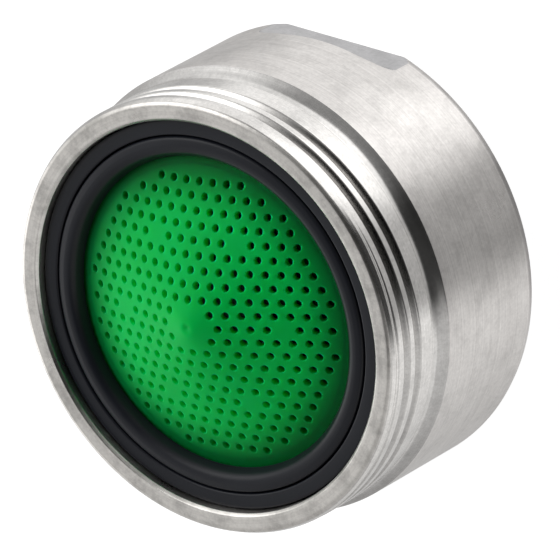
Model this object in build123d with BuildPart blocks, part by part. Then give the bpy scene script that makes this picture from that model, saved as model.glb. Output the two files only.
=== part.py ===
from build123d import *
import os
from math import hypot, sqrt

# Tap aerator with an external M24 x 1 thread, standing on its outlet face with the thread up.
# Origin: centre of the outlet face. Axis of the part: +Z. Wrench flats face +Y and -Y.
# All sizes are in millimetres.

# Housing, turned from stainless steel bar
THREAD_MAJOR_D = 24.0
SHOULDER_STEP = 0.35
BODY_LENGTH = 8.0
THREAD_LENGTH = 3.6
THREAD_LEAD_IN = 0.35
RELIEF_WIDTH = 0.9
RELIEF_DEPTH = 0.55
RELIEF_FLOOR = 0.45
SHOULDER_EDGE = 0.12
OUTLET_EDGE_IN = 0.2
OUTLET_EDGE_UP = 0.5
POCKET_WALL = 1.18
POCKET_DEPTH = 2.6
CORE_STEP = 0.52
BORE_EDGE = 0.15

# Two wrench flats milled at the outlet end, with the run-out of the cutter
FLAT_DEPTH = 0.8
FLAT_LENGTH = 1.6
FLAT_RUNOUT_R = 0.8

# Clearance of every plastic piece in the bore or pocket that holds it
SEAT_CLEARANCE = 0.08

# Core body, black moulded sleeve with a flange
FLANGE_BELOW_RIM = 0.5
FLANGE_LIP = 0.85
FLANGE_EDGE = 0.12
CUP_LEDGE_DEPTH = 1.6
CUP_LEDGE_WIDTH = 0.5
THROAT_LENGTH = 1.2
SLEEVE_WALL = 0.5
SLEEVE_SETBACK = 0.35
SLEEVE_EDGE = 0.2
BRACKET_COUNT = 6
BRACKET_WIDTH = 1.6
BRACKET_HEIGHT = 0.7
BRACKET_TOP = 6.0

# Jet cup, black moulded rim with a nozzle plate
CUP_BELOW_RIM = 0.4
CUP_RIM_WIDTH = 0.74
CUP_RIM_EDGE = 0.1
LIP_OVERHANG = 0.49
LIP_BELOW_RIM = 1.11
STRAINER_RIM_HEIGHT = 0.8
STRAINER_RIM_WIDTH = 0.45
CUP_WALL = 0.8
NOZZLE_PLATE_DROP = 1.0
NOZZLE_PLATE_THICKNESS = 0.8
NOZZLE_D = 0.9
NOZZLE_MARGIN = 1.71
NOZZLE_RING_STEP = 2.2
NOZZLE_COUNTS = (18, 12, 6)

# Strainer, green moulded cone
CONE_RISE = 2.8
CONE_WALL = 0.55
CONE_TIP_R = 0.7
HOLE_PITCH = 0.847
HOLE_D = 0.42
HOLE_SIDES = 6
HOLE_MARGIN = 0.7
HOLE_ROW_TURN = 7.5
BARE_CENTRE = 1.5
BARE_SPOT = 6

# Outlet grid, grey moulded cup
AIR_GAP = 0.52
GRID_RIM_SETBACK = 0.48
RIDGE_WIDTH = 0.42
RIDGE_HEIGHT = 0.18
RIDGE_EDGE = 0.04
RIDGE_GAP = 0.05
RIM_FLANK_IN = 0.12
RIM_FLANK_UP = 1.1
GRID_TOP = 3.0
GRID_CUP_TOP = 7.4
RIB_COUNT = 24
RIB_WIDTH = 0.32
RIB_SETBACK = 1.0
HUB_INSET = 6.23
HUB_WIDTH = 0.46
HUB_SETBACK = 0.62
HUB_SPOKES = 3
RING_1_INSET = 4.52
RING_2_INSET = 2.96
RING_3_INSET = 1.46
FINE_RING_WIDTH = 0.32
FINE_RING_SETBACK = 0.88
BROAD_RING_WIDTH = 0.46
BROAD_RING_SETBACK = 0.57

# Mixer plate, a slotted disc on a step inside the outlet cup
PLATE_STEP = 0.25
PLATE_SEAT = 4.2
PLATE_THICKNESS = 0.8
SLOT_WIDTH = 0.7
SLOT_MARGIN = 0.72
SLOT_ROW_GAP = 0.7
SLOT_ROWS = ((1.2, 24), (1.8, 16))
PLATE_HUB_R = 1.6
HUB_SLOT_COUNT = 8

# Sizes that follow from the ones above
thread_r = THREAD_MAJOR_D / 2
body_r = thread_r + SHOULDER_STEP
relief_r = thread_r - RELIEF_DEPTH
thread_start = BODY_LENGTH + RELIEF_WIDTH
housing_top = thread_start + THREAD_LENGTH
pocket_r = thread_r - POCKET_WALL
outlet_bore_r = pocket_r - CORE_STEP
core_seat = housing_top - POCKET_DEPTH
flat_y = body_r - FLAT_DEPTH

flange_r = pocket_r - SEAT_CLEARANCE
flange_top = housing_top - FLANGE_BELOW_RIM
cup_pocket_r = flange_r - FLANGE_LIP
cup_seat = flange_top - CUP_LEDGE_DEPTH
throat_r = cup_pocket_r - CUP_LEDGE_WIDTH
throat_end = cup_seat - THROAT_LENGTH
sleeve_r = outlet_bore_r - SEAT_CLEARANCE
sleeve_inner_r = sleeve_r - SLEEVE_WALL

cup_r = cup_pocket_r - SEAT_CLEARANCE
cup_top = housing_top - CUP_BELOW_RIM
cup_mouth_r = cup_r - CUP_RIM_WIDTH
lip_r = cup_mouth_r - LIP_OVERHANG
lip_under = housing_top - LIP_BELOW_RIM
strainer_top = lip_under - SEAT_CLEARANCE
strainer_seat = strainer_top - STRAINER_RIM_HEIGHT
strainer_r = lip_r + STRAINER_RIM_WIDTH
strainer_pocket_r = strainer_r + SEAT_CLEARANCE
cup_skirt_r = throat_r - SEAT_CLEARANCE
cup_inner_r = cup_skirt_r - CUP_WALL
nozzle_plate_top = cup_seat - NOZZLE_PLATE_DROP
nozzle_plate_bottom = nozzle_plate_top - NOZZLE_PLATE_THICKNESS

grid_rim_r = sleeve_inner_r - AIR_GAP
grid_rim_width = RIDGE_EDGE + 2 * RIDGE_WIDTH + RIDGE_GAP + RIM_FLANK_IN
grid_inner_r = grid_rim_r - grid_rim_width
hub_r = grid_inner_r - HUB_INSET
ring_1_r = grid_inner_r - RING_1_INSET
ring_2_r = grid_inner_r - RING_2_INSET
ring_3_r = grid_inner_r - RING_3_INSET
grid_lug_r = sleeve_inner_r - SEAT_CLEARANCE
plate_pocket_r = grid_inner_r + PLATE_STEP
plate_r = plate_pocket_r - SEAT_CLEARANCE

os.makedirs("parts", exist_ok=True)


# Housing: one turned profile, then the two flats
with BuildPart() as housing:
    with BuildSketch(Plane.XZ):
        with BuildLine():
            Polyline(
                (outlet_bore_r + BORE_EDGE, 0),
                (body_r - OUTLET_EDGE_IN, 0),
                (body_r, OUTLET_EDGE_UP),
                (body_r, BODY_LENGTH - SHOULDER_EDGE),
                (body_r - SHOULDER_EDGE, BODY_LENGTH),
                (relief_r, BODY_LENGTH),
                (relief_r, BODY_LENGTH + RELIEF_FLOOR),
                (thread_r, thread_start),
                (thread_r, housing_top - THREAD_LEAD_IN),
                (thread_r - THREAD_LEAD_IN, housing_top),
                (pocket_r + BORE_EDGE, housing_top),
                (pocket_r, housing_top - BORE_EDGE),
                (pocket_r, core_seat),
                (outlet_bore_r, core_seat),
                (outlet_bore_r, BORE_EDGE),
                close=True,
            )
        make_face()
    revolve(axis=Axis.Z)
    with BuildSketch(Plane.YZ) as cutter:
        with Locations((flat_y, 0)):
            Rectangle(
                body_r - flat_y + FLAT_RUNOUT_R,
                FLAT_LENGTH + FLAT_RUNOUT_R,
                align=(Align.MIN, Align.MIN),
            )
        inner_corner = cutter.vertices().group_by(Axis.X)[0].sort_by(Axis.Y)[-1]
        fillet(inner_corner, radius=FLAT_RUNOUT_R)
        mirror(about=Plane.YZ)
    extrude(amount=body_r, both=True, mode=Mode.SUBTRACT)
housing.part.label = "housing"
export_step(housing.part, "parts/housing.step")


# Core body: flange on the housing's step, ledge for the jet cup, sleeve down to the outlet
with BuildPart() as core_body:
    with BuildSketch(Plane.XZ):
        with BuildLine():
            Polyline(
                (flange_r, core_seat),
                (flange_r, flange_top - FLANGE_EDGE),
                (flange_r - FLANGE_EDGE, flange_top),
                (cup_pocket_r, flange_top),
                (cup_pocket_r, cup_seat),
                (throat_r, cup_seat),
                (throat_r, throat_end),
                (sleeve_inner_r, throat_end - (sleeve_inner_r - throat_r)),
                (sleeve_inner_r, SLEEVE_SETBACK + SLEEVE_EDGE),
                (sleeve_r - SLEEVE_EDGE, SLEEVE_SETBACK),
                (sleeve_r, SLEEVE_SETBACK),
                (sleeve_r, core_seat),
                close=True,
            )
        make_face()
    revolve(axis=Axis.Z)
    bracket_r = grid_rim_r + SEAT_CLEARANCE
    with BuildSketch(Plane.XY.offset(BRACKET_TOP)):
        with PolarLocations((bracket_r + sleeve_r) / 2, BRACKET_COUNT):
            Rectangle(sleeve_r - bracket_r - SLEEVE_WALL / 2, BRACKET_WIDTH)
    extrude(amount=-BRACKET_HEIGHT)
core_body.part.label = "core_body"
export_step(core_body.part, "parts/core_body.step")


# Jet cup: rim with a coned lip over the strainer, skirt in the throat, nozzle plate
with BuildPart() as jet_cup:
    with BuildSketch(Plane.XZ):
        with BuildLine():
            Polyline(
                (0, nozzle_plate_bottom),
                (cup_skirt_r, nozzle_plate_bottom),
                (cup_skirt_r, cup_seat),
                (cup_r, cup_seat),
                (cup_r, cup_top - CUP_RIM_EDGE),
                (cup_r - CUP_RIM_EDGE, cup_top),
                (cup_mouth_r, cup_top),
                (lip_r, lip_under),
                (strainer_pocket_r, lip_under),
                (strainer_pocket_r, strainer_seat),
                (cup_inner_r, strainer_seat),
                (cup_inner_r, nozzle_plate_top),
                (0, nozzle_plate_top),
                close=True,
            )
        make_face()
    revolve(axis=Axis.Z)
    for ring, count in enumerate(NOZZLE_COUNTS):
        ring_r = cup_inner_r - NOZZLE_MARGIN - ring * NOZZLE_RING_STEP
        with Locations(Plane.XY.offset(nozzle_plate_top)):
            with PolarLocations(ring_r, count):
                Hole(radius=NOZZLE_D / 2, depth=NOZZLE_PLATE_THICKNESS)
jet_cup.part.label = "jet_cup"
export_step(jet_cup.part, "parts/jet_cup.step")


# Strainer: coned shell with a rim and a blunted tip, and holes on a triangular lattice
# that leaves the tip and six spots around it bare
cone_slope = CONE_RISE / (lip_r - CONE_TIP_R / 2)
cone_apex = strainer_top + CONE_RISE
tip_height = strainer_top + cone_slope * (lip_r - CONE_TIP_R)
shell_drop = CONE_WALL * sqrt(1 + cone_slope**2)
strainer_inner_r = lip_r - CONE_WALL

hole_reach = (lip_r - HOLE_MARGIN) / HOLE_PITCH
hole_steps = range(-int(2 * hole_reach), int(2 * hole_reach) + 1)
hole_spots = []
for row in hole_steps:
    for column in hole_steps:
        x, y = column + row / 2, row * sqrt(3) / 2
        steps_out = sorted((abs(column), abs(row), abs(column + row)))
        is_bare_spot = steps_out == [0, BARE_SPOT, BARE_SPOT]
        if BARE_CENTRE < hypot(x, y) <= hole_reach and not is_bare_spot:
            hole_spots.append((x * HOLE_PITCH, y * HOLE_PITCH))

with BuildPart() as strainer:
    with BuildSketch(Plane.XZ):
        with BuildLine():
            Polyline(
                (0, cone_apex),
                (0, cone_apex - shell_drop),
                (strainer_inner_r, cone_apex - shell_drop - cone_slope * strainer_inner_r),
                (strainer_inner_r, strainer_seat),
                (strainer_r, strainer_seat),
                (strainer_r, strainer_top),
                (lip_r, strainer_top),
                (CONE_TIP_R, tip_height),
                close=True,
            )
        make_face()
    revolve(axis=Axis.Z)
    with BuildSketch(Plane.XY.offset(strainer_seat).rotated((0, 0, HOLE_ROW_TURN))):
        with Locations(*hole_spots):
            RegularPolygon(HOLE_D / 2, HOLE_SIDES)
    extrude(amount=cone_apex - strainer_seat + CONE_WALL, mode=Mode.SUBTRACT)
strainer.part.label = "strainer"
export_step(strainer.part, "parts/strainer.step")


# Outlet grid: cup with a double-ridged rim, four rings, radial ribs, a three-spoked hub,
# and lugs that stand on the core body's brackets
ridge_foot = GRID_RIM_SETBACK + RIDGE_HEIGHT
flank_start_r = grid_rim_r - RIM_FLANK_IN
inner_ridge_r = grid_inner_r + RIDGE_EDGE
outer_ridge_r = flank_start_r - RIDGE_WIDTH

with BuildPart() as outlet_grid:
    with BuildSketch(Plane.XZ):
        with BuildLine():
            Line((grid_inner_r, ridge_foot), (inner_ridge_r, ridge_foot))
            ThreePointArc(
                (inner_ridge_r, ridge_foot),
                (inner_ridge_r + RIDGE_WIDTH / 2, GRID_RIM_SETBACK),
                (inner_ridge_r + RIDGE_WIDTH, ridge_foot),
            )
            Line((inner_ridge_r + RIDGE_WIDTH, ridge_foot), (outer_ridge_r, ridge_foot))
            ThreePointArc(
                (outer_ridge_r, ridge_foot),
                (outer_ridge_r + RIDGE_WIDTH / 2, GRID_RIM_SETBACK),
                (flank_start_r, ridge_foot),
            )
            Polyline(
                (flank_start_r, ridge_foot),
                (grid_rim_r, ridge_foot + RIM_FLANK_UP),
                (grid_rim_r, GRID_CUP_TOP),
                (plate_pocket_r, GRID_CUP_TOP),
                (plate_pocket_r, PLATE_SEAT),
                (grid_inner_r, PLATE_SEAT),
                (grid_inner_r, ridge_foot),
            )
        make_face()
    revolve(axis=Axis.Z)
    rings = (
        (hub_r, HUB_WIDTH, HUB_SETBACK),
        (ring_1_r, FINE_RING_WIDTH, FINE_RING_SETBACK),
        (ring_2_r, BROAD_RING_WIDTH, BROAD_RING_SETBACK),
        (ring_3_r, FINE_RING_WIDTH, FINE_RING_SETBACK),
    )
    for ring_r, width, setback in rings:
        with BuildSketch(Plane.XY.offset(setback)):
            Circle(ring_r + width / 2)
            Circle(ring_r - width / 2, mode=Mode.SUBTRACT)
        extrude(amount=GRID_TOP - setback)
    rib_rows = (
        (ring_1_r, grid_inner_r + grid_rim_width / 2, RIB_COUNT),
        (hub_r, ring_1_r, RIB_COUNT // 2),
        (0, hub_r, HUB_SPOKES),
    )
    with BuildSketch(Plane.XY.offset(RIB_SETBACK)):
        for start_r, end_r, count in rib_rows:
            with PolarLocations((start_r + end_r) / 2, count):
                Rectangle(end_r - start_r, RIB_WIDTH)
        Circle(RIB_WIDTH / 2)
    extrude(amount=GRID_TOP - RIB_SETBACK)
    lug_start_r = grid_rim_r - grid_rim_width / 4
    with BuildSketch(Plane.XY.offset(BRACKET_TOP)):
        with PolarLocations((lug_start_r + grid_lug_r) / 2, BRACKET_COUNT):
            Rectangle(grid_lug_r - lug_start_r, BRACKET_WIDTH)
    extrude(amount=GRID_CUP_TOP - BRACKET_TOP)
outlet_grid.part.label = "outlet_grid"
export_step(outlet_grid.part, "parts/outlet_grid.step")


# Mixer plate: slotted disc in the outlet cup
with BuildPart() as mixer_plate:
    with BuildSketch(Plane.XY.offset(PLATE_SEAT)):
        Circle(plate_r)
        slot_end_r = plate_r - SLOT_MARGIN
        for slot_length, count in SLOT_ROWS:
            with PolarLocations(slot_end_r - slot_length / 2, count):
                Rectangle(slot_length, SLOT_WIDTH, mode=Mode.SUBTRACT)
            slot_end_r -= slot_length + SLOT_ROW_GAP
        with PolarLocations((PLATE_HUB_R + slot_end_r) / 2, HUB_SLOT_COUNT):
            Rectangle(slot_end_r - PLATE_HUB_R, SLOT_WIDTH, mode=Mode.SUBTRACT)
    extrude(amount=PLATE_THICKNESS)
mixer_plate.part.label = "mixer_plate"
export_step(mixer_plate.part, "parts/mixer_plate.step")
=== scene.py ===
"""Looks of a tap aerator: a turned steel housing that holds a black moulded core,
a green strainer cone at the inlet and a grey grid at the outlet."""

import math

import bpy
import numpy as np
from mathutils import Matrix, Vector
from mathutils.geometry import delaunay_2d_cdt


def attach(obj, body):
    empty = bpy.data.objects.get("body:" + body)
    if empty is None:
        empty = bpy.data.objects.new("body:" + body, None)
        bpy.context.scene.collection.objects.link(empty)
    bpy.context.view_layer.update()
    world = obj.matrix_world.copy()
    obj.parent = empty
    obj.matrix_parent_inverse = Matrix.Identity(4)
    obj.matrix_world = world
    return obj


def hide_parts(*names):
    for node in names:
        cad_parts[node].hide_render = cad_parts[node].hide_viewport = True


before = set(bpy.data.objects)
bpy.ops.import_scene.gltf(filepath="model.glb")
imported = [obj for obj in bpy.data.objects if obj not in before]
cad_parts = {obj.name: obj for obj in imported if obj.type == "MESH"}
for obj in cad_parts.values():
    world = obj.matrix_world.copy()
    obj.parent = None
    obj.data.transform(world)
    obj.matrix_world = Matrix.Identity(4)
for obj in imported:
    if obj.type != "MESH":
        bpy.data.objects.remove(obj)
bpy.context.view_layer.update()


# HOUSING
# A short sleeve turned from stainless steel bar, with an M24 x 1 thread cut at the inlet end,
# a coned shoulder and a shallow neck behind the thread, and two wrench flats milled at the
# outlet end. Lengths are in millimetres until the mesh is made.

def rounded_section(corners, arc_points=5):
    """Closed section as (radius, height) rows. Each corner is (r, z, fillet, step): the corner is
    replaced by a quadratic curve whose ends lie one fillet away along both sides, and the straight
    run to the next curve is cut into pieces no longer than step."""
    table = np.array(corners, float)
    points, fillets, steps = table[:, :2], table[:, 2:3], table[:, 3]
    side = np.roll(points, -1, 0) - points
    along = side / np.linalg.norm(side, axis=1)[:, None]
    starts, ends = points - fillets * np.roll(along, 1, 0), points + fillets * along
    t = np.linspace(0, 1, arc_points)[:, None]
    rows = []
    for i, here in enumerate(points):
        if fillets[i] > 0:
            rows.append((1 - t) ** 2 * starts[i] + 2 * t * (1 - t) * here + t ** 2 * ends[i])
        else:
            rows.append(here[None, :])
        run = starts[(i + 1) % len(points)] - ends[i]
        count = max(1, int(math.ceil(np.linalg.norm(run) / steps[i])))
        rows.append(ends[i] + run * (np.arange(1, count) / count)[:, None])
    return np.concatenate(rows)


def grid_faces(rows, columns, closed_rows=True):
    """Quads of a rows x columns grid of points, as index rows: each row closes on itself, and the
    last row is joined to the first where the rows are closed too."""
    i, j = np.meshgrid(np.arange(rows if closed_rows else rows - 1), np.arange(columns), indexing="ij")
    i2, j2 = (i + 1) % rows, (j + 1) % columns
    quads = np.stack((i * columns + j, i * columns + j2, i2 * columns + j2, i2 * columns + j), -1)
    return quads.reshape(-1, 4)


def build_piece(name, parts, sharp_degrees=35):
    """One mesh object from closed shells of (points in millimetres, faces), each turned outwards
    by the sign of its volume, with smooth shading that breaks at edges sharper than the limit."""
    points, faces, offset = [], [], 0
    for shell_points, shell_faces in parts:
        p = np.asarray(shell_points, float)
        groups = shell_faces if isinstance(shell_faces, list) else [shell_faces]
        volume = 0.0
        for f in groups:
            for k in range(1, f.shape[1] - 1):
                a, b, c = p[f[:, 0]], p[f[:, k]], p[f[:, k + 1]]
                volume += np.einsum("ij,ij->i", a, np.cross(b, c)).sum()
        for f in groups:
            faces += ((f if volume > 0 else f[:, ::-1]) + offset).tolist()
        points.append(p)
        offset += len(p)
    mesh = bpy.data.meshes.new(name)
    mesh.from_pydata((np.concatenate(points) * 0.001).tolist(), [], faces)
    mesh.shade_smooth()
    mesh.set_sharp_from_angle(angle=math.radians(sharp_degrees))
    mesh.update()
    piece = bpy.data.objects.new(name, mesh)
    bpy.context.scene.collection.objects.link(piece)
    return piece


BODY_R, THREAD_R, NECK_R = 12.35, 12.0, 11.8
SEAT_R, SEAT_Z, BORE_R = 10.82, 9.9, 10.3
OUTSIDE_R = 11.2
SHOULDER_Z, NECK_Z, HOUSING_TOP = 7.81, 8.62, 12.5
THREAD_PITCH, THREAD_DEPTH, GROOVE_HALF = 1.0, 0.45, 0.29
CREST_ROUND, ROOT_ROUND, ROOT_FILL = 0.025, 0.045, 0.05
GROOVE_START, GROOVE_START_AZIMUTH = 1.28, math.radians(37.5)
THREAD_END, THREAD_FADE = 2.6, 0.2
LEAD_START, LEAD_FADE = 0.35, 0.5
FLAT_Y, FLAT_LENGTH, RUNOUT_R = 11.55, 1.6, 0.8
FACED_DEPTH, FLAT_TOLERANCE = 0.1, 0.01

housing_section = rounded_section([
    (10.45, 0.00, 0.04, 1.0), (12.15, 0.00, 0.05, 0.05), (BODY_R, 0.50, 0.15, 0.05),
    (BODY_R, 2.60, 0.0, 0.9), (BODY_R, SHOULDER_Z, 0.03, 0.1), (NECK_R, 8.34, 0.40, 0.15),
    (NECK_R, 8.74, 0.02, 0.1), (THREAD_R, 8.84, 0.05, 0.05), (THREAD_R, 8.95, 0.0, 0.035),
    (THREAD_R, 12.10, 0.10, 0.035), (11.86, 12.42, 0.08, 0.05), (11.68, HOUSING_TOP, 0.05, 0.2),
    (10.97, HOUSING_TOP, 0.04, 0.2), (SEAT_R, 12.35, 0.04, 1.2), (SEAT_R, SEAT_Z, 0.0, 0.6),
    (BORE_R, SEAT_Z, 0.0, 2.5), (BORE_R, 0.15, 0.04, 0.2),
])
# The steps round the axis are finer across the two flats.
coarse = np.radians(np.arange(-66.4, 66.5, 1.6))
fine = np.radians(np.arange(-22.8, 22.9, 0.4))
housing_azimuths = np.concatenate((coarse, fine + np.pi / 2, coarse + np.pi, fine + 3 * np.pi / 2))


def flat_level(z):
    """Distance of a flat from the axis: a plane, which runs out upwards on a circle."""
    up = np.clip(z - FLAT_LENGTH, 0, RUNOUT_R)
    return FLAT_Y + RUNOUT_R - np.sqrt(RUNOUT_R ** 2 - up ** 2)


def threaded_and_milled(section, azimuths):
    """Turned radius r(z) lessened by a helical groove and by the two flats. Groove: depth falls
    linearly from its centre line z = top - start + pitch (a - a0) / 2 pi, softly rounded at root
    and crest. Flats: r sin a is held to the flat's level."""
    r, z = np.meshgrid(section[:, 0], azimuths, indexing="ij")[0], section[:, 1:]
    a = azimuths[None, :]
    outer = section[:, :1] > OUTSIDE_R
    below_top = HOUSING_TOP - z
    turns = (below_top - GROOVE_START) / THREAD_PITCH + (a - GROOVE_START_AZIMUTH) / (2 * np.pi)
    off_centre = np.abs((turns + 0.5) % 1.0 - 0.5) * THREAD_PITCH
    depth = THREAD_DEPTH * (1 - off_centre / GROOVE_HALF)
    depth = CREST_ROUND * np.logaddexp(0, depth / CREST_ROUND)
    depth = -ROOT_ROUND * np.logaddexp(-depth / ROOT_ROUND, -(THREAD_DEPTH - ROOT_FILL) / ROOT_ROUND)
    depth = depth * np.clip((THREAD_END + THREAD_FADE - below_top) / THREAD_FADE, 0, 1)
    depth = depth * np.clip((below_top - LEAD_START) / LEAD_FADE, 0, 1)
    threaded = np.minimum(r, THREAD_R - np.maximum(depth, 0))
    r = np.where(outer & (z > NECK_Z), threaded, r)
    held = flat_level(z) / np.maximum(np.abs(np.sin(a)), 1e-3)
    r = np.where(outer & (z < FLAT_LENGTH + RUNOUT_R), np.minimum(r, held), r)
    points = np.stack((r * np.cos(a), r * np.sin(a), np.broadcast_to(z, r.shape)), -1)
    return points.reshape(-1, 3), grid_faces(len(section), len(azimuths))


housing = build_piece("housing_steel", [threaded_and_milled(housing_section, housing_azimuths)], 65)


def new_material(name):
    """Material with an empty node tree but for its output; returns it, its tree and the output."""
    material = bpy.data.materials.new(name)
    material.use_nodes = True
    tree = material.node_tree
    tree.nodes.clear()
    return material, tree, tree.nodes.new("ShaderNodeOutputMaterial")


def linear(red, green, blue):
    """Linear colour from the 0-255 values that a screen shows."""
    c = np.array((red, green, blue), float) / 255
    c = np.where(c <= 0.04045, c / 12.92, ((c + 0.055) / 1.055) ** 2.4)
    return (*c.tolist(), 1.0)


def filled(tree, node, *values):
    """The node, its inputs filled in order: a socket is linked, and a number or vector is set."""
    for socket, value in zip(node.inputs, values):
        if isinstance(value, bpy.types.NodeSocket):
            tree.links.new(value, socket)
        else:
            socket.default_value = value
    return node


def maths(tree, operation, *values):
    """Number that one Math node makes of the values."""
    node = tree.nodes.new("ShaderNodeMath")
    node.operation = operation
    return filled(tree, node, *values).outputs[0]


def vector_maths(tree, operation, *values):
    """Vector, or the number for a length or a dot product, that one Vector Math node makes."""
    node = tree.nodes.new("ShaderNodeVectorMath")
    node.operation = operation
    filled(tree, node, *values)
    return node.outputs["Value" if operation in ("LENGTH", "DOT_PRODUCT") else "Vector"]


def scaled(tree, colour, share):
    """Colour socket multiplied by a number socket."""
    node = tree.nodes.new("ShaderNodeVectorMath")
    node.operation = "SCALE"
    tree.links.new(colour, node.inputs[0])
    tree.links.new(share, node.inputs["Scale"])
    return node.outputs["Vector"]


def spread(tree, value, low, high, to_low, to_high, smooth=False):
    """Value from low to high carried to the range from to_low to to_high, held at both ends."""
    node = tree.nodes.new("ShaderNodeMapRange")
    node.interpolation_type = "SMOOTHSTEP" if smooth else "LINEAR"
    tree.links.new(value, node.inputs["Value"])
    ends = zip(("From Min", "From Max", "To Min", "To Max"), (low, high, to_low, to_high))
    for name, number in ends:
        node.inputs[name].default_value = number
    return node.outputs["Result"]


def noise(tree, place, scale, detail, roughness=0.5):
    """Noise at a place, with scale waves to the metre and finer waves of falling strength on them."""
    node = tree.nodes.new("ShaderNodeTexNoise")
    node.inputs["Scale"].default_value = scale
    node.inputs["Detail"].default_value = detail
    node.inputs["Roughness"].default_value = roughness
    tree.links.new(place, node.inputs["Vector"])
    return node.outputs["Fac"]


def blended(tree, share, first, second):
    """Colour between the first and the second, each a colour or a socket, by a share socket."""
    node = tree.nodes.new("ShaderNodeMix")
    node.data_type = "RGBA"
    tree.links.new(share, node.inputs["Factor"])
    for name, value in (("A", first), ("B", second)):
        if isinstance(value, bpy.types.NodeSocket):
            tree.links.new(value, node.inputs[name])
        else:
            node.inputs[name].default_value = value
    return node.outputs["Result"]


def bumped(tree, height, strength, distance=0.000004):
    """Normal that is tilted by a height socket, over the given depth in metres."""
    node = tree.nodes.new("ShaderNodeBump")
    node.inputs["Strength"].default_value = strength
    node.inputs["Distance"].default_value = distance
    tree.links.new(height, node.inputs["Height"])
    return node.outputs["Normal"]


def off_axis(tree, place):
    """The place without its height, and its distance from the axis."""
    flat_place = vector_maths(tree, "MULTIPLY", place, (1, 1, 0))
    return flat_place, vector_maths(tree, "LENGTH", flat_place)


def turned_steel(name, dark, bright, dull, duller, anisotropy, stain=0.86):
    """Turned steel: fine lines that depend on radius and height only, scatter across those lines,
    roughness that drifts from dull to duller in soft smudges, and stains down to the given share."""
    material, tree, output = new_material(name)
    shader = tree.nodes.new("ShaderNodeBsdfPrincipled")
    shader.inputs["Metallic"].default_value = 1.0
    shader.inputs["Anisotropic"].default_value = anisotropy
    shader.inputs["Anisotropic Rotation"].default_value = 0.25
    place = tree.nodes.new("ShaderNodeTexCoord").outputs["Object"]
    flat_place, radius = off_axis(tree, place)
    height = filled(tree, tree.nodes.new("ShaderNodeSeparateXYZ"), place).outputs["Z"]
    lathe_place = filled(tree, tree.nodes.new("ShaderNodeCombineXYZ"), radius, 0.0, height).outputs[0]
    tangent = vector_maths(tree, "NORMALIZE", vector_maths(tree, "CROSS_PRODUCT", (0, 0, 1), flat_place))
    tree.links.new(tangent, shader.inputs["Tangent"])
    smudges = noise(tree, place, 260.0, 4.0)
    tree.links.new(spread(tree, smudges, 0.3, 0.7, dull, duller), shader.inputs["Roughness"])
    turning_lines = noise(tree, lathe_place, 9000.0, 3.0)
    grain = spread(tree, noise(tree, place, 5200.0, 5.0, 0.65), 0.3, 0.7, 0.9, 1.07)
    stains = spread(tree, noise(tree, place, 700.0, 6.0, 0.68), 0.35, 0.55, stain, 1.0)
    tone = blended(tree, turning_lines, dark, bright)
    mottled = scaled(tree, tone, maths(tree, "MULTIPLY", grain, stains))
    tree.links.new(mottled, shader.inputs["Base Color"])
    tree.links.new(bumped(tree, turning_lines, 0.25), shader.inputs["Normal"])
    tree.links.new(shader.outputs[0], output.inputs["Surface"])
    return material


housing_finishes = (
    turned_steel("turned_steel", linear(186, 182, 179), linear(236, 233, 230), 0.27, 0.37, 0.75),
    turned_steel("cut_thread", linear(206, 203, 200), linear(230, 228, 225), 0.17, 0.22, 0.4),
    turned_steel("milled_flat", linear(172, 171, 172), linear(190, 189, 190), 0.34, 0.42, 0.3),
    turned_steel("coned_shoulder", linear(196, 194, 191), linear(214, 212, 210), 0.17, 0.22, 0.3),
    turned_steel("faced_end", linear(204, 200, 195), linear(250, 247, 242), 0.26, 0.38, 0.6, 0.7),
)
WALL, THREAD, FLAT, SHOULDER, FACED_END = range(5)
for material in housing_finishes:
    housing.data.materials.append(material)
middle = np.zeros(len(housing.data.polygons) * 3)
housing.data.polygons.foreach_get("center", middle)
middle = middle.reshape(-1, 3) * 1000
face_r, face_z = np.hypot(middle[:, 0], middle[:, 1]), middle[:, 2]
on_flat = np.abs(np.abs(middle[:, 1]) - flat_level(face_z)) < FLAT_TOLERANCE
finish = np.full(len(middle), WALL, np.int32)
finish[(face_z > SHOULDER_Z) & (face_r > OUTSIDE_R)] = THREAD
finish[(face_z > SHOULDER_Z) & (face_z < NECK_Z) & (face_r > OUTSIDE_R)] = SHOULDER
finish[face_z > HOUSING_TOP - FACED_DEPTH] = FACED_END
finish[on_flat & (face_z < FLAT_LENGTH + RUNOUT_R)] = FLAT
housing.data.polygons.foreach_set("material_index", finish)
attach(housing, "root")
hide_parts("housing")


# CORE BODY
# The black moulded sleeve that drops into the housing from the inlet end. Its flange rests on the
# housing's step, and six small brackets inside carry the outlet grid.

def turned(section, azimuths):
    """Lathe surface: point (i, j) is section row i turned to azimuth j, (r cos a, r sin a, z)."""
    r, z = section[:, :1], section[:, 1:]
    x, y = r * np.cos(azimuths), r * np.sin(azimuths)
    points = np.stack((x, y, np.broadcast_to(z, x.shape)), -1).reshape(-1, 3)
    return points, grid_faces(len(section), len(azimuths))


def bars(start, end, angles, low, high, half_width, edge):
    """Straight bars that lie along radii: a box section with bevelled lower edges, half_width each
    side and from low to high, carried from radius start to end and turned to each angle."""
    side = np.array([-half_width, -half_width + edge, half_width - edge, half_width,
                     half_width, -half_width])
    level = np.array([low + edge, low, low, low + edge, high, high])
    along = np.array([start, end])[:, None] + 0 * side
    across = side + 0 * along
    caps = np.array([[0, 1, 2, 3, 4, 5], [11, 10, 9, 8, 7, 6]])
    faces = [grid_faces(2, 6, closed_rows=False)[:, ::-1], caps]
    shells = []
    for angle in angles:
        x = along * math.cos(angle) - across * math.sin(angle)
        y = along * math.sin(angle) + across * math.cos(angle)
        shells.append((np.stack((x, y, level + 0 * along), -1).reshape(-1, 3), faces))
    return shells


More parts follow.
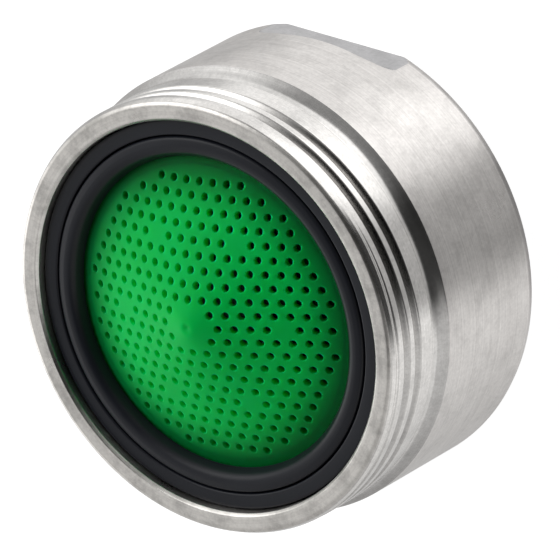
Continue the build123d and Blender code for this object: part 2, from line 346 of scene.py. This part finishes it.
CUP_SEAT_Z = 10.40
BRACKET_LOW, BRACKET_TOP, BRACKET_HALF = 5.3, 6.0, 0.8
full_turn = np.radians(np.arange(0, 360, 2.0))
core_section = rounded_section([
    (10.74, SEAT_Z, 0.0, 1.0), (10.74, 12.00, 0.14, 0.4), (9.89, 12.00, 0.13, 0.8),
    (9.89, CUP_SEAT_Z, 0.0, 0.5), (9.39, CUP_SEAT_Z, 0.0, 0.8), (9.39, 9.20, 0.05, 0.4),
    (9.72, 8.87, 0.05, 2.0), (9.72, 0.55, 0.08, 0.2), (10.02, 0.35, 0.06, 0.2),
    (10.22, 0.35, 0.06, 2.0), (10.22, SEAT_Z, 0.0, 0.5),
])
sixths = np.radians(np.arange(0, 360, 60))
brackets = bars(9.405, 10.095, sixths, BRACKET_LOW, BRACKET_TOP, BRACKET_HALF, 0.05)
core = build_piece("core_body_black", [turned(core_section, full_turn)] + brackets)


def moulded_plastic(name, colour, worn_colour, roughness, grain):
    """Moulded plastic: a colour that drifts slightly over the piece, with a fine mould grain.
    Returns the material and its shader."""
    material, tree, output = new_material(name)
    shader = tree.nodes.new("ShaderNodeBsdfPrincipled")
    place = tree.nodes.new("ShaderNodeTexCoord").outputs["Object"]
    drift = noise(tree, place, 320.0, 3.0)
    tree.links.new(blended(tree, drift, colour, worn_colour), shader.inputs["Base Color"])
    gloss = spread(tree, drift, 0.0, 1.0, roughness - 0.06, roughness + 0.06)
    tree.links.new(gloss, shader.inputs["Roughness"])
    mould_grain = noise(tree, place, 9000.0, 2.0)
    tree.links.new(bumped(tree, mould_grain, grain), shader.inputs["Normal"])
    tree.links.new(shader.outputs[0], output.inputs["Surface"])
    return material, shader


black_plastic, black_shader = moulded_plastic(
    "black_moulding", linear(18, 20, 26), linear(25, 27, 34), 0.36, 0.25)
black_shader.inputs["Specular IOR Level"].default_value = 0.3
core.data.materials.append(black_plastic)
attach(core, "root")
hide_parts("core_body")


# JET CUP
# A black moulded cup that sits on the core body's ledge. Its rounded lip frames the strainer, and
# a plate of fine nozzles closes it below.

def circle(radius, count):
    """Points of a circle about the axis, (r cos a, r sin a)."""
    a = np.arange(count) * 2 * np.pi / count
    return np.stack((radius * np.cos(a), radius * np.sin(a)), -1)


SPOTS_AT_ONCE, LOOP_TOLERANCE = 60, 0.999


def pierced_plate(spots, hole_r, edge, sides, outline_r, outline_count, extra, top, bottom, lean=0.0):
    """Closed plate with round holes: the disc is triangulated round the hole loops, once with the
    wider loops of the top edge and once with the plain loops below. Levels come from top(r) and
    bottom(r); walls join the loops through a bevelled edge, and lean moves the lower loops inwards."""
    spots = np.asarray(spots, float)
    ring = circle(1.0, sides)
    leaning = spots * (1 - lean / np.linalg.norm(spots, axis=1))[:, None]
    rim = circle(outline_r, outline_count)
    n, m = len(rim), len(spots)
    rim_edges = np.stack((np.arange(n), (np.arange(n) + 1) % n), -1)
    k = np.arange(sides)
    hole_edges = (n + np.arange(m)[:, None, None] * sides
                  + np.stack((k, (k + 1) % sides), -1)[None]).reshape(-1, 2)
    edges = np.concatenate((rim_edges, hole_edges)).tolist()
    shells_points, shells_faces, offset = [], [], 0
    loops = {}
    for level, radius, centres in (("top", hole_r + edge, spots), ("bottom", hole_r, leaning)):
        holes = (centres[:, None, :] + radius * ring[None]).reshape(-1, 2)
        flat = np.concatenate((rim, holes, extra))
        found = delaunay_2d_cdt([Vector(p) for p in flat.tolist()], edges, [], 0, 1e-6)
        xy = np.array([p[:] for p in found[0]])
        triangles = np.array([f for f in found[2] if len(f) == 3])
        at = np.zeros(len(flat), int)
        for index, sources in enumerate(found[3]):
            at[sources] = index
        middle = xy[triangles].mean(1)
        nearest = np.full(len(middle), np.inf)
        for block in np.array_split(centres, max(1, m // SPOTS_AT_ONCE)):
            gap = np.linalg.norm(middle[:, None, :] - block[None], axis=2).min(1)
            nearest = np.minimum(nearest, gap)
        triangles = triangles[nearest > radius * math.cos(math.pi / sides) * LOOP_TOLERANCE]
        r = np.linalg.norm(xy, axis=1)
        z = top(r) if level == "top" else bottom(r)
        shells_points.append(np.column_stack((xy, z)))
        a, b, c = (xy[triangles[:, i]] for i in range(3))
        ab, ac = b - a, c - a
        turn_sign = ab[:, 0] * ac[:, 1] - ab[:, 1] * ac[:, 0]
        upward = np.where((turn_sign > 0)[:, None], triangles, triangles[:, ::-1])
        shells_faces.append((upward if level == "top" else upward[:, ::-1]) + offset)
        loops[level] = (at[:n] + offset, at[n:n + m * sides].reshape(m, sides) + offset)
        offset += len(xy)
    edge_xy = (spots[:, None, :] + hole_r * ring[None]).reshape(-1, 2)
    edge_z = top(np.linalg.norm(edge_xy, axis=1)) - edge
    shells_points.append(np.column_stack((edge_xy, edge_z)))
    edge_loop = (offset + np.arange(len(edge_xy))).reshape(len(spots), sides)
    top_rim, top_loop = loops["top"]
    bottom_rim, bottom_loop = loops["bottom"]

    def wall(upper, lower):
        """Quads between two loops, facing the loops' own centre."""
        u2, l2 = np.roll(upper, -1, -1), np.roll(lower, -1, -1)
        return np.stack((upper, u2, l2, lower), -1).reshape(-1, 4)

    quads = np.concatenate((wall(top_loop, edge_loop), wall(edge_loop, bottom_loop),
                            wall(bottom_rim, top_rim)))
    return np.concatenate(shells_points), [np.concatenate(shells_faces), quads]


STRAINER_SEAT_Z, LIP_UNDER_Z = 10.51, 11.39
NOZZLE_R, NOZZLE_TOP, NOZZLE_LOW = 0.45, 9.4, 8.62
cup_section = rounded_section([
    (9.31, 8.60, 0.05, 2.0), (9.31, CUP_SEAT_Z, 0.0, 0.5), (9.81, CUP_SEAT_Z, 0.0, 1.0),
    (9.81, 12.02, 0.16, 0.2), (9.40, 12.10, 0.05, 0.2), (8.92, 12.10, 0.34, 0.4),
    (8.58, LIP_UNDER_Z, 0.05, 0.4), (9.11, LIP_UNDER_Z, 0.0, 0.5), (9.11, STRAINER_SEAT_Z, 0.0, 0.5),
    (8.51, STRAINER_SEAT_Z, 0.0, 1.0), (8.51, 8.60, 0.0, 1.0),
])
nozzles = np.concatenate([circle(ring_r, count) for ring_r, count in ((2.4, 6), (4.6, 12), (6.8, 18))])
nozzle_plate = pierced_plate(
    nozzles, NOZZLE_R, 0.05, 16, 8.6, 72, circle(1.0, 6),
    top=lambda r: NOZZLE_TOP + 0 * r, bottom=lambda r: NOZZLE_LOW + 0 * r)
jet_cup = build_piece("jet_cup_black", [turned(cup_section, full_turn), nozzle_plate])
jet_cup.data.materials.append(black_plastic)
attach(jet_cup, "root")
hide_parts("jet_cup")


# STRAINER
# A green moulded cone with some 300 fine holes on a triangular lattice, bare at its tip and at
# six spots round it. Its rim is held under the jet cup's lip.

CONE_FOOT_R, CONE_FOOT_Z, CONE_APEX_Z = 8.58, 11.31, 14.11
TIP_R, CONE_WALL = 0.7, 0.55
CONE_SLOPE = (CONE_APEX_Z - CONE_FOOT_Z) / (CONE_FOOT_R - TIP_R / 2)
CONE_SINK = 0.02
HOLE_PITCH, HOLE_R, ROW_TURN = 0.847, 0.21, math.radians(7.5)
HOLE_EDGE, HOLE_SIDES = 0.03, 14
PIERCED_R, RIM_MARGIN = 8.2, 0.7
BARE_TIP_STEPS, BARE_SPOT_STEPS = 1.5, 6
LAND, TIP_CLEAR_R = 0.25, 1.0
# Painted shade: the green's colour darkens towards the rim, standing in for the shade under the jet
# cup's lip.
SHADE_START_R, SHADE_END_R, RIM_PAINTED_SHADE = 5.6, 8.8, 0.25
# Painted light: the hole walls are made lighter, standing in for light that comes through the plastic.
GATE_CLEAR_R, LIT_FROM, LIT_DEPTH, PAINTED_LIGHT_SHARE = 0.9, 0.03, 0.15, 1.3


def cone_height(r):
    """Height of the cone's outside: a straight slope, with a parabola over the tip that meets it
    without a break, and a small sunk gate mark with a low rim in the very middle."""
    straight = CONE_FOOT_Z + CONE_SLOPE * (CONE_FOOT_R - r)
    tip = (CONE_FOOT_Z + CONE_SLOPE * (CONE_FOOT_R - TIP_R)
           + CONE_SLOPE * (TIP_R ** 2 - r ** 2) / (2 * TIP_R))
    mark = 0.09 * np.exp(-(r / 0.17) ** 2) - 0.02 * np.exp(-((r - 0.36) / 0.09) ** 2)
    return np.where(r < TIP_R, tip, straight) - mark - CONE_SINK


def cone_under(r):
    """Height of the cone's inside: the straight slope, one wall lower."""
    drop = CONE_WALL * math.sqrt(1 + CONE_SLOPE ** 2)
    return CONE_FOOT_Z + CONE_SLOPE * (CONE_FOOT_R - np.maximum(r, TIP_R / 2)) - drop


steps = np.arange(-20, 21)
column, row = (g.ravel() for g in np.meshgrid(steps, steps, indexing="ij"))
lattice = np.stack((column + row / 2, row * math.sqrt(3) / 2), -1)
reach = (CONE_FOOT_R - RIM_MARGIN) / HOLE_PITCH
hex_steps = np.sort(np.stack((np.abs(column), np.abs(row), np.abs(column + row)), -1), -1)
bare_spot = (hex_steps == (0, BARE_SPOT_STEPS, BARE_SPOT_STEPS)).all(1)
out = np.linalg.norm(lattice, axis=1)
turn_rows = np.array([[math.cos(ROW_TURN), math.sin(ROW_TURN)],
                      [-math.sin(ROW_TURN), math.cos(ROW_TURN)]])
holes = HOLE_PITCH * lattice[(out > BARE_TIP_STEPS) & (out <= reach) & ~bare_spot] @ turn_rows
between = np.concatenate((lattice + (0.5, math.sqrt(3) / 6), lattice + (0.0, math.sqrt(3) / 3)))
between = HOLE_PITCH * between @ turn_rows
between_r = np.linalg.norm(between, axis=1)
between = between[(between_r < PIERCED_R - LAND) & (between_r > TIP_CLEAR_R)]
bare = HOLE_PITCH * lattice[bare_spot] @ turn_rows
tip_rings = ((0.06, 6), (0.13, 10), (0.2, 14), (0.28, 18), (0.38, 20), (0.55, 22), (0.75, 24))
tip_points = np.concatenate([circle(r, n) for r, n in tip_rings])
strainer_cone = pierced_plate(
    holes, HOLE_R, HOLE_EDGE, HOLE_SIDES, PIERCED_R, 180, np.concatenate((between, bare, tip_points)),
    cone_height, cone_under, lean=CONE_WALL * CONE_SLOPE / math.sqrt(1 + CONE_SLOPE ** 2))
strainer_rim = rounded_section([
    (8.03, STRAINER_SEAT_Z, 0.0, 1.0), (9.03, STRAINER_SEAT_Z, 0.0, 1.0),
    (9.03, CONE_FOOT_Z, 0.04, 0.3), (CONE_FOOT_R, CONE_FOOT_Z - CONE_SINK, 0.03, 0.3),
    (PIERCED_R, float(cone_height(np.array(PIERCED_R))), 0.0, 1.0),
    (PIERCED_R, float(cone_under(np.array(PIERCED_R))), 0.0, 0.3),
])
strainer = build_piece("strainer_green", [strainer_cone, turned(strainer_rim, full_turn)])


def green_by_place(tree, colour):
    """Green with painted shade that darkens it towards the rim, where the jet cup's lip shades it, and
    painted light that makes the hole walls lighter, standing in for light that comes through the
    plastic. A wall is told by its depth below the cone's straight slope; the tip, where the gate
    mark is sunk, counts as slope."""
    place = tree.nodes.new("ShaderNodeTexCoord").outputs["Object"]
    height = filled(tree, tree.nodes.new("ShaderNodeSeparateXYZ"), place).outputs["Z"]
    from_axis = off_axis(tree, place)[1]
    # Painted shade: the base colour darkens towards the rim, as if shaded by the jet cup's lip.
    painted_rim_shade = spread(tree, from_axis, SHADE_START_R / 1000, SHADE_END_R / 1000, 1.0, RIM_PAINTED_SHADE,
                       smooth=True)
    beyond_tip = maths(tree, "MAXIMUM", from_axis, GATE_CLEAR_R / 1000)
    slope_level = maths(tree, "MULTIPLY_ADD", beyond_tip, CONE_SLOPE, height)
    surface_level = CONE_FOOT_Z - CONE_SINK + CONE_SLOPE * CONE_FOOT_R
    # Painted light: the base colour is lighter on the hole walls, standing in for light that comes
    # through the plastic.
    painted_light_through = spread(tree, slope_level, (surface_level - LIT_FROM) / 1000,
                         (surface_level - LIT_DEPTH) / 1000, 1.0, PAINTED_LIGHT_SHARE)
    return scaled(tree, colour, maths(tree, "MULTIPLY", painted_rim_shade, painted_light_through))


green_plastic, green_shader = moulded_plastic(
    "green_moulding", linear(0, 166, 64), linear(0, 182, 84), 0.45, 0.3)
green_colour = green_shader.inputs["Base Color"]
green_tree = green_plastic.node_tree
green_tree.links.new(green_by_place(green_tree, green_colour.links[0].from_socket), green_colour)
green_shader.inputs["Specular IOR Level"].default_value = 0.07
green_shader.inputs["Subsurface Weight"].default_value = 0.9
green_shader.inputs["Subsurface Radius"].default_value = (0.2, 1.0, 0.5)
green_shader.inputs["Subsurface Scale"].default_value = 0.0012
strainer.data.materials.append(green_plastic)
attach(strainer, "root")
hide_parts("strainer")


# OUTLET GRID
# A grey moulded cup at the outlet: a rim with two ridges, four rings joined by radial ribs and
# a three-spoked hub. Its lugs stand on the core body's brackets.

GRID_TOP, GRID_CUP_TOP, MIXER_SEAT_Z = 3.0, 7.4, 4.2
HUB_R, INNER_RING_R, RIB_END_R = 1.92, 3.63, 8.5
STOUT_RING, SLIM_RING = 0.46, 0.32
grid_rim = rounded_section([
    (8.15, 0.70, 0.03, 0.6), (8.20, 0.66, 0.0, 0.1), (8.28, 0.52, 0.06, 0.1), (8.52, 0.52, 0.06, 0.1),
    (8.61, 0.66, 0.02, 0.1), (8.66, 0.66, 0.02, 0.1), (8.75, 0.52, 0.06, 0.1), (8.98, 0.52, 0.06, 0.1),
    (9.08, 0.66, 0.03, 0.3), (9.20, 1.76, 0.1, 2.0), (9.20, GRID_CUP_TOP, 0.05, 0.8),
    (8.40, GRID_CUP_TOP, 0.05, 1.6), (8.40, MIXER_SEAT_Z, 0.0, 0.3), (8.15, MIXER_SEAT_Z, 0.0, 1.6),
])
shells = [turned(grid_rim, full_turn)]
for ring_r, width, low in ((HUB_R, STOUT_RING, 0.62), (INNER_RING_R, SLIM_RING, 0.88),
                           (5.19, STOUT_RING, 0.57), (6.69, SLIM_RING, 0.88)):
    half = width / 2
    ring_section = rounded_section([
        (ring_r - half, low, half * 0.8, 0.4), (ring_r + half, low, half * 0.8, 1.0),
        (ring_r + half, GRID_TOP, 0.04, 0.4), (ring_r - half, GRID_TOP, 0.04, 1.0)])
    shells.append(turned(ring_section, full_turn))
for start, end, count in ((INNER_RING_R, RIB_END_R, 24), (HUB_R, INNER_RING_R, 12), (0.0, HUB_R, 3)):
    rib_angles = np.arange(count) * 2 * np.pi / count
    shells += bars(start, end, rib_angles, low=1.0, high=GRID_TOP - 0.01, half_width=0.16, edge=0.07)
shells += bars(8.95, 9.64, sixths, BRACKET_TOP, GRID_CUP_TOP, BRACKET_HALF, 0.05)
outlet_grid = build_piece("outlet_grid_grey", shells)
grey_plastic = moulded_plastic(
    "grey_moulding", linear(113, 112, 115), linear(127, 126, 130), 0.45, 0.3)[0]
outlet_grid.data.materials.append(grey_plastic)
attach(outlet_grid, "root")
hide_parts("outlet_grid")


# MIXER PLATE
# A slotted black disc on a step inside the outlet cup. Its solid is shown as it is, in the
# black moulding's finish.

mixer_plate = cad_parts["mixer_plate"]
mixer_plate.data.materials.clear()
mixer_plate.data.materials.append(black_plastic)


# STAGE
# A white table that only the camera sees, and only from above, so that the outlet can be looked at
# from below. It glows to near white and its paint takes the object's shadow. The steel mirrors a
# grey studio of soft panels, and the camera sees plain white in its place.

FLOOR_HALF, TABLE_PAINT, TABLE_GLOW = 1.5, 0.2, 0.95
floor_mesh = bpy.data.meshes.new("floor")
floor_corners = [(x * FLOOR_HALF, y * FLOOR_HALF, 0) for x, y in ((-1, -1), (1, -1), (1, 1), (-1, 1))]
floor_mesh.from_pydata(floor_corners, [], [(0, 1, 2, 3)])
floor = bpy.data.objects.new("floor", floor_mesh)
bpy.context.scene.collection.objects.link(floor)
floor.visible_glossy = False
floor.visible_diffuse = False
floor.visible_shadow = False
white_table, tree, output = new_material("white_table")
paint = tree.nodes.new("ShaderNodeBsdfDiffuse")
paint.inputs["Color"].default_value = (TABLE_PAINT, TABLE_PAINT, TABLE_PAINT, 1)
glow = tree.nodes.new("ShaderNodeEmission")
glow.inputs["Strength"].default_value = TABLE_GLOW
table_top = filled(tree, tree.nodes.new("ShaderNodeAddShader"), paint.outputs[0], glow.outputs[0])
from_below = tree.nodes.new("ShaderNodeNewGeometry").outputs["Backfacing"]
clear = tree.nodes.new("ShaderNodeBsdfTransparent")
one_sided = filled(tree, tree.nodes.new("ShaderNodeMixShader"),
                   from_below, table_top.outputs[0], clear.outputs[0])
tree.links.new(one_sided.outputs[0], output.inputs["Surface"])
floor_mesh.materials.append(white_table)

world = bpy.data.worlds.new("studio")
bpy.context.scene.world = world
world.use_nodes = True
tree = world.node_tree
tree.nodes.clear()
direction = tree.nodes.new("ShaderNodeTexCoord").outputs["Generated"]
along = filled(tree, tree.nodes.new("ShaderNodeSeparateXYZ"), direction).outputs
azimuth = maths(tree, "ARCTAN2", along["Y"], along["X"])
turn_share = spread(tree, azimuth, -math.pi, math.pi, 0.0, 1.0)
FULL_LIGHT, DARK_LIGHT, UNDER_SHARE = 2.0, 0.08, 0.35
PANEL_REACH, PANEL_BASE, PANEL_FADE = 0.82, -0.6, 0.18


def tones_round(tree, share, tones):
    """Grey that runs through stops of (share of a turn, tone). A ramp's colours end at 1, so each
    tone is written as its share of the full light."""
    node = tree.nodes.new("ShaderNodeValToRGB")
    stops = node.color_ramp.elements
    while len(stops) < len(tones):
        stops.new(0.5)
    for stop, (position, tone) in zip(stops, tones):
        stop.position = position
        stop.color = (tone / FULL_LIGHT, tone / FULL_LIGHT, tone / FULL_LIGHT, 1)
    tree.links.new(share, node.inputs[0])
    return node.outputs["Color"]


def towards(azimuth_degrees, height_degrees):
    """Unit vector to an azimuth and a height above the horizon, (cos h cos a, cos h sin a, sin h)."""
    a, h = math.radians(azimuth_degrees), math.radians(height_degrees)
    return Vector((math.cos(h) * math.cos(a), math.cos(h) * math.sin(a), math.sin(h)))


def round_patch(tree, middle, edge_degrees, core_degrees, outside, inside):
    """Light level that passes from outside to inside between two angles off the middle's direction."""
    facing = vector_maths(tree, "DOT_PRODUCT", direction, middle)
    edge, core = math.cos(math.radians(edge_degrees)), math.cos(math.radians(core_degrees))
    return spread(tree, facing, edge, core, outside, inside, smooth=True)


walls = tones_round(tree, turn_share, (
    (0.0, 0.54), (0.1, 0.7), (0.16, 0.6), (0.27, 0.74), (0.38, 1.0), (0.445, 1.15), (0.475, 0.44),
    (0.6, 0.62), (0.66, 1.7), (0.71, 1.85), (0.79, 1.15), (0.88, 1.25), (0.97, 0.54), (1.0, 0.54)))
ceiling = tones_round(tree, turn_share, (
    (0.0, 0.6), (0.14, 0.6), (0.2, 0.46), (0.3, 0.5), (0.36, 0.7), (0.455, 0.8), (0.49, 0.05),
    (0.61, 0.04), (0.66, 0.26), (0.79, 0.4), (0.85, 1.0), (0.92, 1.0), (1.0, 0.6)))
# A bright wall panel reaches higher than a dark one, and fades into the ceiling above its top.
panel_top = maths(tree, "MULTIPLY_ADD", walls, PANEL_REACH, PANEL_BASE)
over_panel = maths(tree, "SUBTRACT", along["Z"], panel_top)
ceiling_share = spread(tree, over_panel, 0.0, PANEL_FADE, 0.0, 1.0, smooth=True)
room = tree.nodes.new("ShaderNodeBackground")
tree.links.new(blended(tree, ceiling_share, walls, ceiling), room.inputs["Color"])
# One dark patch lies overhead, two windows stand to the side, and straight below is dimmer.
lit = round_patch(tree, towards(44.5, 78), 37, 27, FULL_LIGHT, DARK_LIGHT)
for middle, edge_degrees, core_degrees, gain in ((towards(205, 12), 26, 10, 3.8),
                                                 (towards(150, 40), 26, 14, 2.6)):
    lit = maths(tree, "ADD", lit, round_patch(tree, middle, edge_degrees, core_degrees, 0.0, gain))
under_light = spread(tree, along["Z"], -0.95, -0.86, UNDER_SHARE, 1.0, smooth=True)
tree.links.new(maths(tree, "MULTIPLY", lit, under_light), room.inputs["Strength"])
white = tree.nodes.new("ShaderNodeBackground")
white.inputs["Color"].default_value = (1, 1, 1, 1)
camera_ray = tree.nodes.new("ShaderNodeLightPath").outputs["Is Camera Ray"]
seen = filled(tree, tree.nodes.new("ShaderNodeMixShader"), camera_ray, room.outputs[0], white.outputs[0])
world_output = tree.nodes.new("ShaderNodeOutputWorld")
tree.links.new(seen.outputs[0], world_output.inputs["Surface"])

LAMP_DISTANCE, LAMP_SIZE, LAMP_WATTS = 0.25, 0.15, 0.3
lamp_data = bpy.data.lights.new("far_lamp", "AREA")
lamp_data.energy = LAMP_WATTS
lamp_data.size = LAMP_SIZE
lamp = bpy.data.objects.new("far_lamp", lamp_data)
lamp.location = LAMP_DISTANCE * towards(150, 42)
lamp.rotation_euler = lamp.location.to_track_quat("Z", "Y").to_euler()
lamp.visible_glossy = False
bpy.context.scene.collection.objects.link(lamp)


# CAMERA
# A long lens well above the inlet end, rolled so that the inlet looks down and to the left. Its
# place is given in metres from a point on the axis, and its lens by a focal length in pixels.

TILT, ROLL, TURN_ROUND = math.radians(41.69), math.radians(29.01), math.radians(-52.5)
AIM_Z, AIM_RIGHT, AIM_UP, CAMERA_DISTANCE = 0.0125, 0.003966, 0.002014, 0.5753
FOCAL_PIXELS, HALF_FRAME_PIXELS, SENSOR_WIDTH = 5523.0, 140.0, 36.0
to_cad = Matrix.Rotation(TURN_ROUND, 3, "Z")
cos_tilt, sin_tilt = math.cos(TILT), math.sin(TILT)
cos_roll, sin_roll = math.cos(ROLL), math.sin(ROLL)
view = to_cad @ Vector((0, sin_tilt, cos_tilt))
right = to_cad @ Vector((sin_roll, cos_roll * cos_tilt, -cos_roll * sin_tilt))
up = to_cad @ Vector((-cos_roll, sin_roll * cos_tilt, -sin_roll * sin_tilt))
aim = Vector((0, 0, AIM_Z)) + AIM_RIGHT * right + AIM_UP * up
camera_data = bpy.data.cameras.new("camera")
camera_data.sensor_width = SENSOR_WIDTH
camera_data.lens = SENSOR_WIDTH / 2 * FOCAL_PIXELS / HALF_FRAME_PIXELS
camera_data.clip_start = 0.01
camera = bpy.data.objects.new("camera", camera_data)
bpy.context.scene.collection.objects.link(camera)
basis = Matrix((right, up, view)).transposed()
camera.matrix_world = Matrix.LocRotScale(aim + CAMERA_DISTANCE * view, basis.to_quaternion(), None)
bpy.context.scene.camera = camera
bpy.context.scene.view_settings.view_transform = "Standard"
